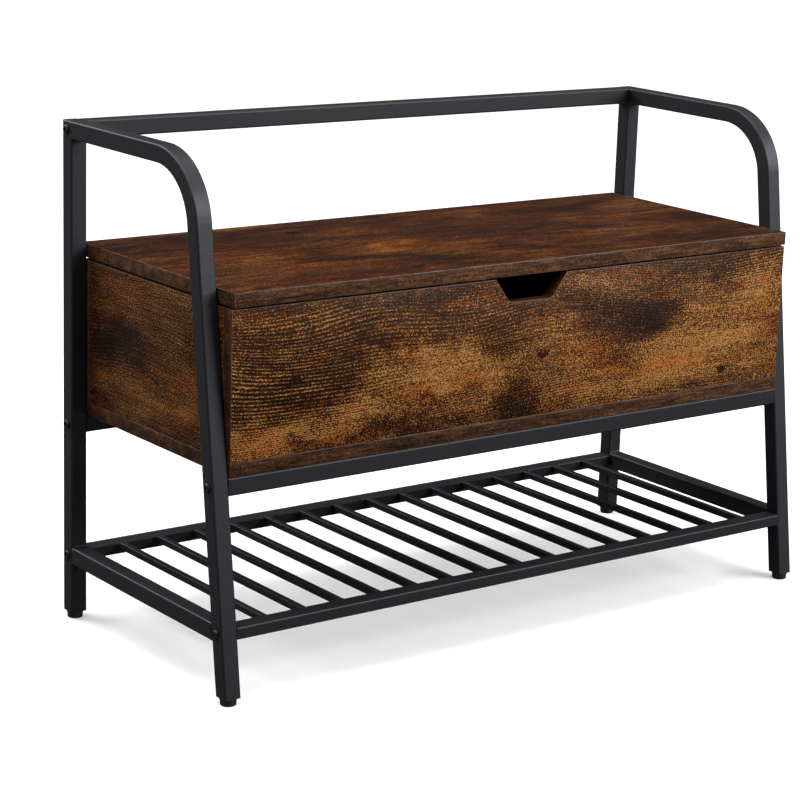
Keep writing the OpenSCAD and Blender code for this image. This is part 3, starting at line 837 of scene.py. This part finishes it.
def foot(side, end, plastic):
    """Moulded glide: ringed tread, tapered body and flange, with a plug that leans with the leg."""
    node = f"{side}_{end}_foot"
    lo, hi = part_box(node)
    radius = (hi.x - lo.x) / 2
    middle = Vector(((lo.x + hi.x) / 2, lo.y + radius, lo.z))
    if end == "front":
        middle.y = hi.y - radius if hi.y - lo.y <= 2 * radius + 1e-5 else middle.y
    tread = radius - TREAD_IN
    neck = radius - FOOT_TAPER
    groove = FOOT_H - FLANGE_H
    bm = bmesh.new()
    turn_on(bm, Vector((0.0, 0.0, 1.0)), middle, [
        (circle, tread - 0.0045, 0.0005), (circle, tread - 0.0040, 0.0), (circle, tread - 0.0013, 0.0),
        (circle, tread - 0.0006, 0.0003), (circle, tread - 0.0001, 0.0009), (circle, tread, FLANGE_H),
        (circle, neck - 0.0001, groove - 0.0004), (circle, neck - 0.0002, groove), (circle, radius - 0.0003, groove),
        (circle, radius, groove + 0.0003), (circle, radius, FOOT_H - 0.0002), (circle, radius - 0.0002, FOOT_H),
    ])
    lean = math.radians(LEG_LEAN if end == "front" else 0.0)
    axis = Vector((0.0, math.sin(lean), math.cos(lean)))
    stem_end = (hi.z - lo.z - FOOT_H - STEM_R * math.sin(lean)) / math.cos(lean)
    turn_on(bm, axis, middle + Vector((0.0, 0.0, FOOT_H)), [
        (circle, STEM_R, -STEM_CUT), (circle, STEM_R, stem_end - 0.001), (circle, STEM_R - 0.001, stem_end),
    ])
    stand_in(new_object(node + "_moulded", bm, 35), node, [plastic])


# ---- Welds ----

BEAD = 0.0016
BEAD_STEPS = 5
WELD_INSET = 0.002


def bead(bm, start, end, out, side):
    """Concave fillet from start to end, in the corner between the directions out and side."""
    rings = []
    for place in (start, end):
        ring = [bm.verts.new(place)]
        for i in range(BEAD_STEPS + 1):
            turn = math.pi / 2 * i / BEAD_STEPS
            away_out, away_side = BEAD * (1 - math.sin(turn)), BEAD * (1 - math.cos(turn))
            ring.append(bm.verts.new(place + out * away_out + side * away_side))
        rings.append(ring)
    for i in range(len(rings[0])):
        j = (i + 1) % len(rings[0])
        bm.faces.new((rings[0][i], rings[0][j], rings[1][j], rings[1][i]))
    for ring in rings:
        bm.faces.new(ring)


def shelf_welds(coat):
    """Fillet welds at both ends of every shelf bar, on its two sides and underneath."""
    bm = bmesh.new()
    bars = sorted(name for name in NODES if name.startswith("shelf_bar_"))
    for name in bars:
        lo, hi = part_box(name)
        for y, out in ((lo.y, Vector((0, 1, 0))), (hi.y, Vector((0, -1, 0)))):
            for x, side in ((lo.x, Vector((-1, 0, 0))), (hi.x, Vector((1, 0, 0)))):
                bead(bm, Vector((x, y, lo.z)), Vector((x, y, hi.z - BEAD)), out, side)
            bead(bm, Vector((lo.x, y, lo.z)), Vector((hi.x, y, lo.z)), out, Vector((0, 0, -1)))
    beads = new_object("shelf_weld_beads", bm, 50)
    beads.data.materials.append(coat)
    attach(beads, "frame")


def side_rail_welds(coat):
    """Fillet welds above and below the ends of the lower side rails, against the legs."""
    bm = bmesh.new()
    for side in SIDES:
        lo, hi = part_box(side + "_lower_side_rail")
        slant = (hi.z - lo.z) * math.tan(math.radians(LEG_LEAN))
        near, far = lo.x + WELD_INSET, hi.x - WELD_INSET
        for z, up, front in ((hi.z, 1.0, lo.y + slant), (lo.z, -1.0, lo.y)):
            for y, out in ((front, 1.0), (hi.y, -1.0)):
                bead(bm, Vector((near, y, z)), Vector((far, y, z)), Vector((0, out, 0)), Vector((0, 0, up)))
    beads = new_object("side_rail_weld_beads", bm, 50)
    beads.data.materials.append(coat)
    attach(beads, "frame")


def make_hardware(materials):
    for side in SIDES:
        frame_bolts(side, materials["black_bolts"])
        for end in ("front", "rear"):
            foot(side, end, materials["foot_plastic"])
    zinc = materials["zinc_steel"]
    wood_screws("box_screws", True, SCREW_SHANK_R, BOX_SCREW_HEAD_H, False, zinc)
    wood_screws("base_screws", True, SCREW_SHANK_R, BOX_SCREW_HEAD_H, True, zinc)
    wood_screws("box_leaf_screws", False, LEAF_SCREW_SHANK_R, 0.0012, True, zinc)
    wood_screws("lid_leaf_screws", True, LEAF_SCREW_SHANK_R, 0.0012, True, zinc)
    cam_locks(zinc)
    bumpers(materials["bumper_rubber"])
    shelf_welds(materials["powder_coat"])
    side_rail_welds(materials["powder_coat"])


# ---- CAD nodes that stay ----

def make_materials():
    """One material for each record slot, apart from the boards."""
    return {
        "powder_coat": powder_coat(), "black_bolts": black_oxide(), "zinc_steel": zinc_steel(),
        "foot_plastic": moulded_plastic(), "bumper_rubber": soft_rubber(), "dowel_wood": bare_beech(),
    }


def dress_cad_nodes(materials):
    """Gives every CAD node that still shows the material of its record slot."""
    for entry in frame["record"]["subparts"]:
        node = NODES[entry["node"]]
        if not node.hide_render:
            node.data.materials.clear()
            node.data.materials.append(materials[entry["material_slot"]])


make_camera()
make_studio()
make_boards()
MATERIALS = make_materials()
make_hardware(MATERIALS)
dress_cad_nodes(MATERIALS)
